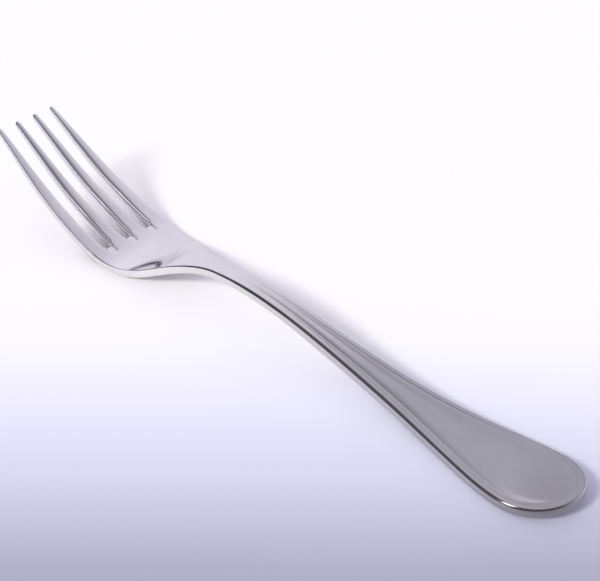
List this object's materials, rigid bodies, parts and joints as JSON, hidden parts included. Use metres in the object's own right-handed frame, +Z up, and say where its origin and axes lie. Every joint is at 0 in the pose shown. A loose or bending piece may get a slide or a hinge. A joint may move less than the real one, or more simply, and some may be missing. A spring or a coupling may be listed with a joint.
{
  "type": "dessert fork",
  "caption": "Polished steel dessert fork with long tapering tines, a shallow palm, a slim raised neck and a flared handle with a raised border.",
  "frame": {"origin": "on the table plane, under the middle of the fork's length and width", "axes": "+X along the length towards the end of the handle, +Z up from the table, the fork is even about Y = 0"},
  "size_m": [0.183, 0.0242, 0.0232],
  "materials": {
    "steel": "polished"
  },
  "bodies": {
    "root": {"tine_1": "steel", "tine_2": "steel", "tine_3": "steel", "tine_4": "steel", "palm": "steel", "neck": "steel", "stem": "steel", "handle": "steel"}
  },
  "joints": []
}
